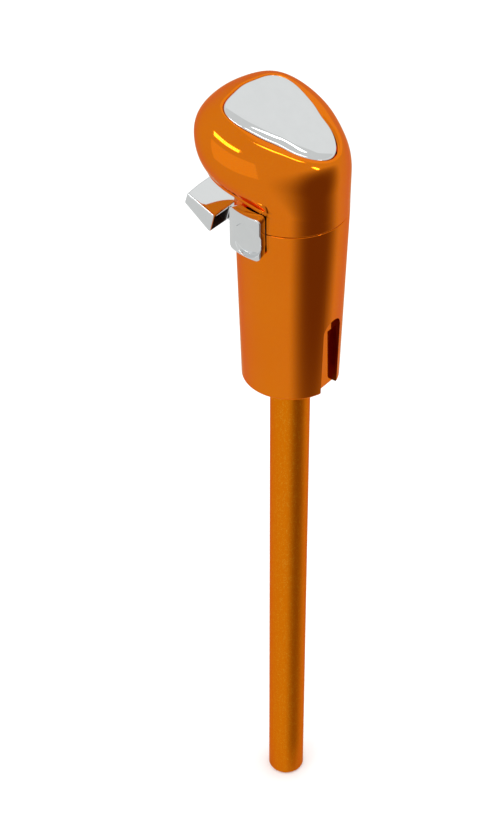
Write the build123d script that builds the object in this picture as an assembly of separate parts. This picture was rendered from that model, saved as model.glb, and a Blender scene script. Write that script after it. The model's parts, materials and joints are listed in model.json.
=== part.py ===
from build123d import *
import os
from math import atan, cos, pi, radians, sin

# Truck gearshift knob with a range lever, a splitter button, a lower cover and a shaft extension.
# Millimetres. The origin is the centre of the shaft's bottom face, +Z runs up the shaft, +X is the
# nose of the knob and +Y is its left side, where the splitter button sits under the driver's thumb.

# ---------------------------------------------------------------- driving dimensions
SHAFT_R = 19.05 / 2             # 3/4 in bar
SHAFT_LEN = 304.8               # 12 in extension
THREAD_R = 12.7 / 2             # 1/2 in thread, over its crests
TAP_R = 5.36                    # drill for a 1/2-13 thread
TAP_DEPTH = 19.0
STUD_TOP = 332.0

NUT_FLATS = 19.05
THREAD_GAP = 0.03               # radial gap of the plain bores that stand for threads
NUT_Z = (306.1, 314.0)
WASHER_Z = (314.0, 315.6)
WEB_Z = (315.6, 318.6)          # floor of the lower cover, clamped by the jam nut
PLATE_Z = (318.6, 324.6)
GASKET_Z = (324.6, 325.4)
INSERT_R = 9.5                  # threaded bush
INSERT_TOP = 334.6

SEAM = 365.0                    # top of the lower cover, bottom of the upper housing
RIM = 275.0
SEAM_GAP = 0.3
NECK_R = 25.4                   # 2 in neck
RIM_R = 22.9
COVER_WALL = 2.0
HOUSING_WALL = 2.5
CORE_R = 22.0                   # valve body

SLOT_HALF = 6.2                 # air line channel at the back of the lower cover
SLOT_TOP = 314.4
SLOT_FLOOR_X = -19.5
SLOT_FLOOR_TOP = 306.5
SLOT_SKIN = 1.5

# The head's rings are radii every 30 degrees from the nose to the back, in plan.
CREASE_RING = [38.6, 38.4, 31.0, 26.0, 25.4, 25.4, 25.4]
WIDEST_RING = [40.8, 42.2, 39.2, 31.0, 26.2, 25.5, 25.4]
CREASE_H, CREASE_SLOPE = 10.2, 0.2275
WIDEST_H, WIDEST_SLOPE = 26.0, 0.33
ROOF_H, ROOF_SLOPE = 39.85, 0.382
# The top insert's ring is radii every 22.5 degrees about its own centre.
TOP_RING = [23.9, 24.7, 26.8, 22.2, 18.1, 16.5, 18.3, 21.5, 24.0]
TOP_CENTRE_X = 3.2
RIM_LAND = 1.2                  # land between the insert's outline and the shoulder
RECESS_GAP = 0.35
RECESS_DEPTH = 3.6
CREASE_EDGE = 2.0
NECK_FILLET = 2.5
RING_POINTS = 36

LEVER_PIVOT = (16.0, 353.0)     # X and Z of the range lever's pin
LEVER_TRAVEL = 26.0             # degrees, downwards from rest
LEVER_HALF = 17.4               # half width of the paddle
PADDLE_SIDE = [(30.6, 356.9), (47.1, 363.1), (48.9, 357.4), (33.3, 347.0)]
PADDLE_BOW = 105.0              # radius of the paddle's outer edge in plan
STEM_SIDE = [(16.0, 357.0), (26.0, 357.0), (31.5, 356.6), (33.9, 348.4), (27.0, 347.6), (16.0, 351.0)]
STEM_HALF = 5.0
NOTCH_LOW = 342.0               # foot of the cover's notch for the stem
HUB_R = 4.7
PIN_R = 2.0
RUNNING = 0.05                  # radial clearance of the pivots
TAIL_ARM = 8.5
TAIL_TIP_R = 1.9
TAIL_ARM_HALF = 0.9
POCKET_FLOOR = 347.9

SPOOL_R = 3.42
SPOOL_BORE_R = 3.5
NECK_GROOVE_R = 1.4
RANGE_SPOOL_X = 7.5
RANGE_SPOOL_Z = (338.0, 357.5)
RANGE_SEALS = (339.2, 343.0)
RANGE_SUPPLY_Z, RANGE_OUT_Z = 341.0, 338.3
DETENT_R = PIN_R
DETENT_Z = LEVER_PIVOT[1] - HUB_R - DETENT_R - 0.1

SPLIT_TRAVEL = 10.0             # degrees, rearwards from rest
BUTTON_R = (26.1, 31.0)
BUTTON_AZ = (65.0, 100.3)
BUTTON_MID = 82.5
BUTTON_Z = (353.6, 374.6)
BUTTON_SCREW_Z = 361.6
SCOOP_R = 30.0                  # radius of the thumb scoop in plan, and its depth
SCOOP_DEPTH = 2.6
SCOOP_AZ = 89.5
SCOOP_EDGE_R = 8.15             # round outline of the scoop, seen from the side
SCOOP_EDGE_AZ, SCOOP_EDGE_Z = 87.0, 362.35
WINDOW_AZ = (74.3, 100.7)
WINDOW_Z = (354.9, 373.6)
BLOCK_AZ = (75.5, 89.5)
BLOCK_Z = (357.5, 371.5)
ARM_Z = (366.0, 370.0)
ARM_HALF = 2.7
PIVOT_R = 2.5
DRIVE_ARM = 11.0
DRIVE_R = 1.5
SPLIT_SPOOL_Z = 379.0
SPLIT_BORE_R = 3.0
SPLIT_SPOOL_R = 2.92
SPLIT_SPOOL_X = (-9.6, 8.0)
SPLIT_SEALS = (-7.6, 6.0)
SPLIT_SCREW_X, SPLIT_SCREW_Y = 10.8, -15.9
SPLIT_BLOCK_TOP = 385.5
SPLIT_DETENT = (13.5, radians(87.0), 1.5, 364.35)    # radius, azimuth, ball radius and height

PORTS = {"supply": (0.0, 16.2), "range": (-11.0, 11.4), "splitter": (-11.0, -11.4)}
PORT_R = 1.25
M3_R = 1.45
FITTING_FLATS = 8.0
TUBE_R = 2.05                   # bore for 4 mm (5/32 in) air line
PORT_HOLE_R = 3.2               # clear hole round each port in the gasket
PLATE_SCREWS = [(radians(a), 17.2) for a in (20, 55, -55, -20)]
HOUSING_SCREWS = [(-12.0, 393.5), (18.0, 404.5)]    # X, and Z of the head's seat
POST_TOP = 388.0


# ---------------------------------------------------------------- helpers
def rod(radius, z0, z1, x=0.0, y=0.0):
    """Upright cylinder between two heights."""
    return Pos(x, y, (z0 + z1) / 2) * Cylinder(radius, z1 - z0)


def rod_along_x(radius, x0, x1, y, z):
    return Pos((x0 + x1) / 2, y, z) * Rot(0, 90, 0) * Cylinder(radius, x1 - x0)


def rod_along_y(radius, half, x, z):
    return Pos(x, 0, z) * Rot(90, 0, 0) * Cylinder(radius, 2 * half)


def block(x0, x1, y0, y1, z0, z1):
    return Pos((x0 + x1) / 2, (y0 + y1) / 2, (z0 + z1) / 2) * Box(x1 - x0, y1 - y0, z1 - z0)


def tube(outer, inner, z0, z1, x=0.0, y=0.0):
    return rod(outer, z0, z1, x, y) - rod(inner, z0 - 1, z1 + 1, x, y)


def hexagon(flats, z0, z1, x=0.0, y=0.0):
    """Upright hexagonal prism."""
    outline = RegularPolygon(flats / 2, 6, major_radius=False)
    return Pos(x, y, z0) * extrude(outline, z1 - z0)


def wedge(a0, a1, z0, z1, reach=60.0):
    """Pie slice between two azimuths in degrees, less than 90 degrees wide."""
    mid = radians((a0 + a1) / 2)
    corners = [(0, 0)]
    for a in (radians(a0), mid, radians(a1)):
        corners.append((reach * cos(a), reach * sin(a)))
    face = make_face(Polyline(*corners, close=True))
    return Pos(0, 0, z0) * extrude(face, z1 - z0)


def sector(r0, r1, a0, a1, z0, z1):
    """Piece of a ring wall between two azimuths."""
    return tube(r1, r0, z0, z1) & wedge(a0, a1, z0 - 1, z1 + 1)


def side_outline(points, half):
    """Prism whose side view, X and Z, is the polygon, and whose width is 2 * half along Y."""
    plane = Plane(origin=(0, half, 0), x_dir=(1, 0, 0), z_dir=(0, -1, 0))
    return extrude(plane * make_face(Polyline(*points, close=True)), 2 * half)


def spring(radius, wire, turns, z0, z1, x, y):
    """Coil spring on an upright axis."""
    height = z1 - z0 - 2 * wire
    coil = Helix(height / turns, height, radius - wire)
    start = coil.position_at(0)
    section = Plane(origin=start, z_dir=coil.tangent_at(0)) * Circle(wire)
    return Pos(x, y, z0 + wire) * sweep(section, path=coil)


def ring_radius(ring, angle):
    """Smooth even ring through radii given at equal steps from angle 0 to pi."""
    last = len(ring) - 1
    total = 0.0
    for k in range(last + 1):
        term = 0.0
        for j, radius in enumerate(ring):
            weight = 0.5 if j in (0, last) else 1.0
            term += weight * radius * cos(pi * j * k / last)
        if k in (0, last):
            term /= 2
        total += 2 * term / last * cos(k * angle)
    return total


def cover_radius(z):
    return RIM_R + (NECK_R - RIM_R) * (z - RIM) / (SEAM - RIM)


# ---------------------------------------------------------------- head shape
def head_rings(inset=0.0, drop=0.0, top_step=RIM_LAND):
    """Closed rings of points up the head, from the seam to the edge of the roof."""
    rings = []
    for i in range(RING_POINTS):
        angle = 2 * pi * i / RING_POINTS
        cx, sy = cos(angle), sin(angle)
        neck = NECK_R - inset
        crease = max(ring_radius(CREASE_RING, angle) - inset, neck)
        widest = max(ring_radius(WIDEST_RING, angle) - inset, neck)
        top = ring_radius(TOP_RING, angle) + top_step
        roof_x, roof_y = TOP_CENTRE_X + top * cx, top * sy
        roof_h = ROOF_H + ROOF_SLOPE * roof_x - drop
        crease_h = CREASE_H + CREASE_SLOPE * crease * cx + inset
        neck_h = CREASE_H + CREASE_SLOPE * neck * cx + inset
        widest_h = WIDEST_H + WIDEST_SLOPE * widest * cx
        reach = crease - neck
        fillet_in = min(NECK_FILLET, reach / 2)
        edge_in = min(CREASE_EDGE, reach / 2)
        column = [(neck, 0.0), (neck, neck_h - NECK_FILLET)]
        column.append((neck + 0.3 * fillet_in, neck_h - 0.3 * NECK_FILLET))
        column.append((neck + fillet_in, neck_h + CREASE_SLOPE * fillet_in * cx + 0.02))
        column.append((crease - edge_in, crease_h - CREASE_SLOPE * edge_in * cx + 0.3 * CREASE_EDGE))
        column.append((crease, crease_h + 0.9 * CREASE_EDGE))
        side = widest_h - crease_h - CREASE_EDGE
        for part in (0.25, 0.5, 0.75, 1.0):
            bulge = 1 - (1 - part) ** 2
            column.append((crease + (widest - crease) * bulge, crease_h + CREASE_EDGE + side * part))
        points = [(r * cx, r * sy, SEAM + h) for r, h in column]
        for turn in range(10, 100, 10):
            over, up = 1 - cos(radians(turn)), sin(radians(turn))
            x = widest * cx + (roof_x - widest * cx) * over
            y = widest * sy + (roof_y - widest * sy) * over
            points.append((x, y, SEAM + widest_h + (roof_h - widest_h) * up))
        rings.append(points)
    return [[column[k] for column in rings] for k in range(len(rings[0]))]


def head_solid(inset=0.0, drop=0.0, top_step=RIM_LAND):
    wires = [Wire([Edge.make_spline([Vector(*p) for p in ring], periodic=True)])
             for ring in head_rings(inset, drop, top_step)]
    return Solid.make_loft(wires, ruled=True)


def roof_plane(drop=0.0):
    """Plane of the roof, its origin over the insert's centre and its x axis up the slope."""
    height = SEAM + ROOF_H + ROOF_SLOPE * TOP_CENTRE_X - drop
    tilt = atan(ROOF_SLOPE)
    return Plane(origin=(TOP_CENTRE_X, 0, height), x_dir=(cos(tilt), 0, sin(tilt)),
                 z_dir=(-sin(tilt), 0, cos(tilt)))


def roof_outline(step):
    """The insert's outline, offset in plan, as a face on the roof plane."""
    stretch = 1 / cos(atan(ROOF_SLOPE))
    points = []
    for i in range(RING_POINTS):
        angle = 2 * pi * i / RING_POINTS
        radius = ring_radius(TOP_RING, angle) + step
        points.append((radius * cos(angle) * stretch, radius * sin(angle)))
    return make_face(Spline(*points, periodic=True))


# ---------------------------------------------------------------- shaft and clamp
def shaft_extension():
    """Painted steel bar, turned down to a threaded stud at the top and tapped at the bottom."""
    bar = rod(SHAFT_R, 0, SHAFT_LEN)
    rims = bar.edges().filter_by(GeomType.CIRCLE)
    bar = chamfer(rims, 0.8)
    stud = rod(THREAD_R, SHAFT_LEN - 1, STUD_TOP)
    stud = chamfer(stud.edges().filter_by(GeomType.CIRCLE).sort_by(Axis.Z)[-1], 1.0)
    return bar + stud - rod(TAP_R, -1, TAP_DEPTH)


def jam_nut():
    nut = hexagon(NUT_FLATS, *NUT_Z) - rod(THREAD_R + THREAD_GAP, NUT_Z[0] - 1, NUT_Z[1] + 1)
    dome = rod(NUT_FLATS / 2 + 0.9, *NUT_Z)
    return nut & chamfer(dome.edges().filter_by(GeomType.CIRCLE), 0.9)


def cover_washer():
    return tube(10.6, THREAD_R + 0.2, *WASHER_Z)


def threaded_insert():
    """Steel bush with a 1/2 in thread, pressed into the base plate and the valve body."""
    return tube(INSERT_R, THREAD_R + THREAD_GAP, PLATE_Z[0], INSERT_TOP)


# ---------------------------------------------------------------- base
def base_plate():
    plate = rod(CORE_R - 0.6, *PLATE_Z) - rod(INSERT_R, PLATE_Z[0] - 1, PLATE_Z[1] + 1)
    for x, y in PORTS.values():
        plate -= rod(3.0, PLATE_Z[0] - 1, PLATE_Z[1] + 1, x, y)
    for a, r in PLATE_SCREWS:
        plate -= rod(1.6, PLATE_Z[0] - 1, PLATE_Z[1] + 1, r * cos(a), r * sin(a))
        plate -= rod(2.9, PLATE_Z[0] - 1, PLATE_Z[0] + 3, r * cos(a), r * sin(a))
    return plate


def base_gasket():
    sheet = rod(CORE_R - 0.6, *GASKET_Z) - rod(INSERT_R + 0.2, GASKET_Z[0] - 1, GASKET_Z[1] + 1)
    for x, y in PORTS.values():
        sheet -= rod(PORT_HOLE_R, GASKET_Z[0] - 1, GASKET_Z[1] + 1, x, y)
    for a, r in PLATE_SCREWS:
        sheet -= rod(1.7, GASKET_Z[0] - 1, GASKET_Z[1] + 1, r * cos(a), r * sin(a))
    return sheet


def socket_screw(x, y, seat, tip, head_r, head_h, shank_r):
    """Cap screw on an upright axis; its head stands on the seat's far side from the tip."""
    up = 1 if tip > seat else -1
    head_z = sorted((seat, seat - up * head_h))
    shank_z = sorted((seat - up * 0.2, tip))
    drive = hexagon(head_r, *sorted((seat - up * head_h, seat - up * head_h * 0.45)), x, y)
    return rod(head_r, *head_z, x, y) + rod(shank_r, *shank_z, x, y) - drive


def base_plate_screws():
    screws = []
    for a, r in PLATE_SCREWS:
        screws.append(socket_screw(r * cos(a), r * sin(a), PLATE_Z[0] + 3, 333.0, 2.75, 2.8, M3_R))
    return Compound(children=screws)


def air_fitting(name):
    """Compression fitting: a threaded stem in the base plate, a hexagon and a nose for the nut."""
    x, y = PORTS[name]
    body = rod(2.95, PLATE_Z[0] - 1, PLATE_Z[1], x, y)
    body += hexagon(FITTING_FLATS, PLATE_Z[0] - 4, PLATE_Z[0], x, y)
    body += rod(3.1, PLATE_Z[0] - 8, PLATE_Z[0] - 4, x, y)
    body -= rod(TUBE_R, PLATE_Z[0] - 9, PLATE_Z[0] - 1, x, y)
    return body - rod(PORT_R, PLATE_Z[0] - 2, PLATE_Z[1] + 1, x, y)


def compression_nuts():
    """Three nuts, each closing over its fitting's nose and holding the air line's ferrule."""
    low = PLATE_Z[0] - 13
    nuts = []
    for x, y in PORTS.values():
        nut = hexagon(FITTING_FLATS, low, PLATE_Z[0] - 4.3, x, y)
        nut -= rod(3.15, PLATE_Z[0] - 10.2, PLATE_Z[0], x, y)
        nuts.append(nut - rod(TUBE_R, low - 1, PLATE_Z[0], x, y))
    return Compound(children=nuts)


def ferrules():
    rings = [tube(3.0, TUBE_R, PLATE_Z[0] - 10.0, PLATE_Z[0] - 8.1, x, y) for x, y in PORTS.values()]
    return Compound(children=rings)


# ---------------------------------------------------------------- lower cover
def cover_skin(wall_out, z0, z1):
    """Solid taper that follows the cover's outside, moved inwards by wall_out."""
    low, high = cover_radius(z0) - wall_out, cover_radius(z1) - wall_out
    return Pos(0, 0, (z0 + z1) / 2) * Cone(low, high, z1 - z0)


def slot_prism(grow, x0, x1, z0):
    """Arched bar along X in the channel's front view."""
    half = SLOT_HALF + grow
    spring_z = SLOT_TOP - SLOT_HALF
    bar = block(x0, x1, -half, half, z0, spring_z)
    arch = rod_along_x(half, x0, x1, 0, spring_z)
    return bar + arch


def lower_cover():
    """Hollow taper with a clamped floor, an air line channel at the back and two notches."""
    top = SEAM - SEAM_GAP
    outside = cover_skin(0, RIM, top)
    rim = outside.edges().filter_by(GeomType.CIRCLE).sort_by(Axis.Z)[0]
    outside = fillet(rim, 1.0)
    inside = cover_skin(COVER_WALL, RIM - 2, top + 2)
    cover = outside - inside
    # the channel's own walls, inside the skin
    duct = slot_prism(SLOT_SKIN, -NECK_R, SLOT_FLOOR_X + SLOT_SKIN, RIM)
    cover += duct & cover_skin(0.5, RIM, top)
    floor = (cover_skin(COVER_WALL - 0.5, *WEB_Z)) - rod(THREAD_R + 0.3, WEB_Z[0] - 1, WEB_Z[1] + 1)
    for x, y in PORTS.values():
        floor -= rod(5.1, WEB_Z[0] - 1, WEB_Z[1] + 1, x, y)
    cover += floor
    cover -= slot_prism(0, -NECK_R - 2, SLOT_FLOOR_X, RIM - 1)
    # the air lines drop into the channel above its floor
    mouth = slot_prism(0, SLOT_FLOOR_X - 1, SLOT_FLOOR_X + SLOT_SKIN + 1, SLOT_FLOOR_TOP)
    cover -= mouth
    cover -= stem_notch()
    return cover - button_window()


def stem_notch():
    """Opening at the front for the lever's stem and its travel."""
    half = STEM_HALF + 0.9
    low = block(15, 32, -half, half, NOTCH_LOW, SEAM + 1)
    rims = low.edges().filter_by(Axis.X).sort_by(Axis.Z)[:2]
    return fillet(rims, 2.0)


def button_window():
    """Opening on the left side for the splitter button's neck, shared by cover and housing."""
    window = sector(20.5, 29.0, *WINDOW_AZ, *WINDOW_Z)
    rims = [e for e in window.edges() if e.geom_type == GeomType.LINE and e.length < 9]
    return fillet([e for e in rims if abs(e.tangent_at(0.5).Z) < 0.1], 2.0)


# ---------------------------------------------------------------- upper housing
def upper_housing():
    """Hollow head with a recess for the top insert and bosses for two screws under it."""
    shell = head_solid() - head_solid(HOUSING_WALL, RECESS_DEPTH + 2.2, -1.0)
    for x, seat in HOUSING_SCREWS:
        shell += rod(4.6, POST_TOP, seat + 1.5, x) & head_solid()
    shell -= extrude(roof_plane() * roof_outline(RECESS_GAP), -RECESS_DEPTH)
    shell -= extrude(roof_plane() * roof_outline(RECESS_GAP), 6)
    for x, seat in HOUSING_SCREWS:
        shell -= rod(3.1, seat, seat + 12, x)
        shell -= rod(1.7, POST_TOP - 1, seat + 1, x)
    tongue = block(20, 27, -STEM_HALF - 0.5, STEM_HALF + 0.5, 358.6, SEAM + 1.5)
    shell += tongue & (cover_skin(0.15, 355, SEAM + 1.4) - cover_skin(COVER_WALL, 354, SEAM + 3))
    return shell - button_window()


def housing_screws():
    screws = [socket_screw(x, 0, seat, 376.0, 2.75, 2.6, M3_R) for x, seat in HOUSING_SCREWS]
    return Compound(children=screws)


def top_insert():
    """Plated plate with a low crown and rolled edges."""
    plate = extrude(roof_plane().offset(0.6 - RECESS_DEPTH) * roof_outline(0.0), 5)
    crown = 340.0
    lift = Vector(roof_plane().z_dir) * (0.75 - crown)
    centre = Vector(roof_plane().origin) + lift
    return plate & (Pos(*centre) * Sphere(crown))


def insert_pad():
    """Adhesive foam between the housing's recess and the insert, cut round the screw heads."""
    pad = extrude(roof_plane().offset(-RECESS_DEPTH) * roof_outline(-1.2), 0.55)
    for x, _ in HOUSING_SCREWS:
        pad -= rod(3.4, SEAM, SEAM + 60, x)
    return pad


# ---------------------------------------------------------------- valve body
def valve_body():
    """Core that holds both valves; the range spool's bore and the lever's pocket are in it."""
    body = rod(CORE_R, GASKET_Z[1], SEAM)
    for x, _ in HOUSING_SCREWS:
        body += rod(4.0 if x < 0 else 3.8, SEAM - 1, POST_TOP, x)
    body -= rod(INSERT_R, GASKET_Z[1] - 1, INSERT_TOP)
    # pocket for the lever's hub and tail
    side = STEM_HALF + 0.3
    body -= block(4.9, 30, -side, side, POCKET_FLOOR, 360.2)
    body -= block(LEVER_PIVOT[0] + 1.9, 30, -side, side, POCKET_FLOOR - 5.4, 360.2)
    body -= rod(SPOOL_BORE_R, 336.6, SEAM + 1, RANGE_SPOOL_X)
    body -= rod_along_y(PIN_R, 14.0, *LEVER_PIVOT)
    body -= rod(PIN_R + 0.1, 334.0, POCKET_FLOOR + 1, LEVER_PIVOT[0])
    body -= rod(PIVOT_R, 362 - 12, SEAM + 1)
    for a, r in PLATE_SCREWS:
        body -= rod(M3_R + 0.02, GASKET_Z[1] - 1, 335, r * cos(a), r * sin(a))
    for x, _ in HOUSING_SCREWS:
        body -= rod(M3_R + 0.02, 374, POST_TOP + 1, x)
    body -= rod(1.6, 356, SEAM + 1, *detent_spot())
    for x in (-SPLIT_SCREW_X, SPLIT_SCREW_X):
        body -= rod(1.0, 357, SEAM + 1, x, SPLIT_SCREW_Y)
    # air ways: supply and range lines meet the range bore, the splitter line goes up
    sx, sy = PORTS["supply"]
    rx, ry = PORTS["range"]
    body -= rod(PORT_R, GASKET_Z[1] - 1, RANGE_SUPPLY_Z + 1, sx, sy)
    body -= rod(PORT_R, GASKET_Z[1] - 1, RANGE_OUT_Z + 0.7, rx, ry)
    body -= air_way((sx, sy, RANGE_SUPPLY_Z), (RANGE_SPOOL_X, 0, RANGE_SUPPLY_Z))
    body -= air_way((rx, ry, RANGE_OUT_Z), (RANGE_SPOOL_X, 0, RANGE_OUT_Z))
    body -= rod(PORT_R, GASKET_Z[1] - 1, SEAM + 1, *PORTS["splitter"])
    seal = rod(2.6, SEAM - 0.9, SEAM + 1, *PORTS["splitter"])
    return body - seal


def air_way(start, end):
    """Level drilling between two points."""
    path = Edge.make_line(start, end)
    plane = Plane(origin=start, z_dir=path.tangent_at(0))
    return extrude(plane * Circle(PORT_R), path.length)


def range_bore_plug():
    return rod(SPOOL_BORE_R, 362.2, SEAM - 0.2, RANGE_SPOOL_X)


def range_lever_pin():
    return rod_along_y(PIN_R, 13.8, *LEVER_PIVOT)


def range_detent_spring():
    return spring(DETENT_R, 0.25, 7, 334.0, DETENT_Z - DETENT_R - 0.1, LEVER_PIVOT[0], 0)


def range_detent_ball():
    return Pos(LEVER_PIVOT[0], 0, DETENT_Z) * Sphere(DETENT_R)


# ---------------------------------------------------------------- range lever and spool
def range_lever():
    """Plated casting: a wide paddle, a stem, a hub on the pin and a forked tail on the spool."""
    px, pz = LEVER_PIVOT
    paddle = side_outline(PADDLE_SIDE, LEVER_HALF)
    # the outer edge bows forward in plan
    front = max(x for x, _ in PADDLE_SIDE)
    paddle &= rod(PADDLE_BOW, pz - 20, pz + 20, front - PADDLE_BOW)
    along_y = paddle.edges().filter_by(Axis.Y)
    paddle = fillet(along_y, 0.8)
    lever = paddle + side_outline(STEM_SIDE, STEM_HALF)
    lever += rod_along_y(HUB_R, STEM_HALF, px, pz)
    tip_x, tip_z = tail_tip(0)
    lean = radians(LEVER_TRAVEL / 2)
    off_x, off_z = TAIL_ARM_HALF * sin(lean), TAIL_ARM_HALF * cos(lean)
    tail_side = [(px - off_x, pz + off_z), (tip_x - off_x, tip_z + off_z)]
    tail_side += [(tip_x + off_x, tip_z - off_z), (px + off_x, pz - off_z)]
    tail = side_outline(tail_side, 4.4) + rod_along_y(TAIL_TIP_R, 4.4, tip_x, tip_z)
    tail -= block(tip_x - 4, RANGE_SPOOL_X + SPOOL_R + 0.4, -1.8, 1.8, 340, 366)
    lever += tail
    lever -= rod_along_y(PIN_R + RUNNING, LEVER_HALF, px, pz)
    for turn in (0.0, LEVER_TRAVEL):
        dip = Vector(0, 0, -HUB_R - 1.7).rotate(Axis.Y, -turn)
        lever -= Pos(px + dip.X, 0, pz + dip.Z) * Sphere(PIN_R + 0.2)
    return lever


def tail_tip(turn):
    """X and Z of the tail's tip with the lever turned down by some degrees."""
    a = radians(turn - LEVER_TRAVEL / 2)
    return LEVER_PIVOT[0] - TAIL_ARM * cos(a), LEVER_PIVOT[1] + TAIL_ARM * sin(a)


def range_spool():
    """Spool with a groove for the lever's tail and two seal grooves."""
    z0, z1 = RANGE_SPOOL_Z
    spool = rod(SPOOL_R, z0, z1, RANGE_SPOOL_X)
    mid = tail_tip(0)[1]
    half = TAIL_TIP_R + 0.12
    spool -= tube(SPOOL_R + 1, NECK_GROOVE_R, mid - half, mid + half, RANGE_SPOOL_X)
    for z in RANGE_SEALS:
        spool -= tube(SPOOL_R + 1, SPOOL_R - 1.0, z - 0.6, z + 0.6, RANGE_SPOOL_X)
    return spool


def range_spool_seals():
    rings = [Pos(RANGE_SPOOL_X, 0, z) * Torus(SPOOL_R - 0.5, 0.5) for z in RANGE_SEALS]
    return Compound(children=rings)


# ---------------------------------------------------------------- splitter
def detent_spot():
    """X and Y of the splitter's detent ball, under the carrier's arm."""
    return SPLIT_DETENT[0] * cos(SPLIT_DETENT[1]), SPLIT_DETENT[0] * sin(SPLIT_DETENT[1])


def splitter_pivot_pin():
    """Shoulder pin pressed into the valve body; its head keeps the carrier down."""
    return rod(PIVOT_R, 350.2, 370.5) + rod(4.2, 370.3, 372.0)


def splitter_detent_spring():
    _, _, ball_r, ball_z = SPLIT_DETENT
    return spring(ball_r, 0.2, 6, 356.0, ball_z - ball_r - 0.15, *detent_spot())


def splitter_detent_ball():
    _, _, ball_r, ball_z = SPLIT_DETENT
    return Pos(*detent_spot(), ball_z) * Sphere(ball_r)


def drive_spot():
    a = radians(-90 - SPLIT_TRAVEL / 2)
    return DRIVE_ARM * cos(a), DRIVE_ARM * sin(a)


def splitter_carrier():
    """Flat rocker on the pivot pin: one arm holds the button, the other drives the spool."""
    z0, z1 = ARM_Z
    carrier = rod(7.0, z0, z1)
    arm = Rot(0, 0, BUTTON_MID) * block(0, 23.5, -ARM_HALF, ARM_HALF, z0, z1)
    tail = Rot(0, 0, -90 - SPLIT_TRAVEL / 2) * block(0, 13.4, -3.2, 3.2, z0, z1)
    carrier += arm + tail
    carrier += sector(22.95, BUTTON_R[0], *BLOCK_AZ, *BLOCK_Z)
    x, y = drive_spot()
    carrier += rod(DRIVE_R, z1 - 1, 379.6, x, y)
    carrier -= rod(PIVOT_R + RUNNING, z0 - 1, z1 + 1)
    for turn in (0.0, SPLIT_TRAVEL):
        spot = Vector(*detent_spot(), ARM_Z[0] + 1.3).rotate(Axis.Z, -turn)
        carrier -= Pos(*spot) * Sphere(1.8)
    return carrier - button_screw_bar(1.05, 20.0, 27.5) - button_screw_bar(2.1, 20.0, 24.3)


def button_screw_bar(radius, r0, r1):
    """Level rod that points out through the middle of the button, below the arm."""
    bar = rod_along_x(radius, r0, r1, 0, BUTTON_SCREW_Z)
    return Rot(0, 0, BUTTON_MID) * bar


def splitter_button():
    """Plated thumb piece, curved round the neck, with a scoop that is ruled upright."""
    low, high = BUTTON_Z
    button = sector(*BUTTON_R, *BUTTON_AZ, low, high)
    corners = button.edges().filter_by(GeomType.LINE)
    level = [edge for edge in corners if abs(edge.tangent_at(0.5).Z) < 0.1]
    button = fillet(level, 2.4)
    reach = BUTTON_R[1] - SCOOP_DEPTH + SCOOP_R
    az = radians(SCOOP_AZ)
    scoop = rod(SCOOP_R, low - 1, high + 1, reach * cos(az), reach * sin(az))
    outline = Rot(0, 0, SCOOP_EDGE_AZ) * rod_along_x(SCOOP_EDGE_R, 20, 40, 0, SCOOP_EDGE_Z)
    button -= scoop & outline
    return button - button_screw_bar(1.0, 25.0, 28.2)


def splitter_button_screw():
    shank = button_screw_bar(0.95, 23.6, 28.0)
    head = button_screw_bar(1.9, 23.0, 24.25)
    return shank + head


def splitter_valve_body():
    """Block over the carrier's tail, with the splitter spool's level bore."""
    half, y0, y1 = 13.2, -18.0, -5.0
    body = block(-half, half, y0, y1, SEAM, SPLIT_BLOCK_TOP)
    body -= block(-8.4, 8.4, y0 - 1, y1 + 1, SEAM - 1, 371.5)
    body -= rod_along_x(SPLIT_BORE_R, -12.0, half + 1, -DRIVE_ARM, SPLIT_SPOOL_Z)
    body -= block(-4.2, 4.2, -DRIVE_ARM - 2.1, -DRIVE_ARM + 2.1, 370, SPLIT_SPOOL_Z)
    px, py = PORTS["splitter"]
    body -= rod(PORT_R, SEAM - 1, SPLIT_SPOOL_Z, px, py)
    for x in (-SPLIT_SCREW_X, SPLIT_SCREW_X):
        body -= rod(1.3, SEAM - 1, 386, x, SPLIT_SCREW_Y)
    return body


def splitter_valve_screws():
    screws = [socket_screw(x, SPLIT_SCREW_Y, SPLIT_BLOCK_TOP, 358.0, 1.9, 1.6, 1.0)
              for x in (-SPLIT_SCREW_X, SPLIT_SCREW_X)]
    return Compound(children=screws)


def splitter_bore_plug():
    return rod_along_x(SPLIT_BORE_R, 10.6, 13.2, -DRIVE_ARM, SPLIT_SPOOL_Z)


def splitter_port_seal():
    return Pos(*PORTS["splitter"], SEAM - 0.45) * Torus(2.0, 0.45)


def splitter_spool():
    spool = rod_along_x(SPLIT_SPOOL_R, *SPLIT_SPOOL_X, -DRIVE_ARM, SPLIT_SPOOL_Z)
    x = drive_spot()[0]
    half = DRIVE_R + 0.1
    groove = rod_along_x(SPLIT_SPOOL_R + 1, x - half, x + half, -DRIVE_ARM, SPLIT_SPOOL_Z)
    keep = block(x - 5, x + 5, -20, 0, SPLIT_SPOOL_Z + 0.8, SPLIT_SPOOL_Z + 5)
    spool -= groove - keep
    for seal_x in SPLIT_SEALS:
        ring = rod_along_x(SPLIT_SPOOL_R + 1, seal_x - 0.5, seal_x + 0.5, -DRIVE_ARM, SPLIT_SPOOL_Z)
        core = rod_along_x(SPLIT_SPOOL_R - 0.8, seal_x - 1, seal_x + 1, -DRIVE_ARM, SPLIT_SPOOL_Z)
        spool -= ring - core
    return spool


def splitter_spool_seals():
    rings = [Pos(x, -DRIVE_ARM, SPLIT_SPOOL_Z) * Rot(0, 90, 0) * Torus(SPLIT_SPOOL_R - 0.4, 0.4)
             for x in SPLIT_SEALS]
    return Compound(children=rings)


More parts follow.
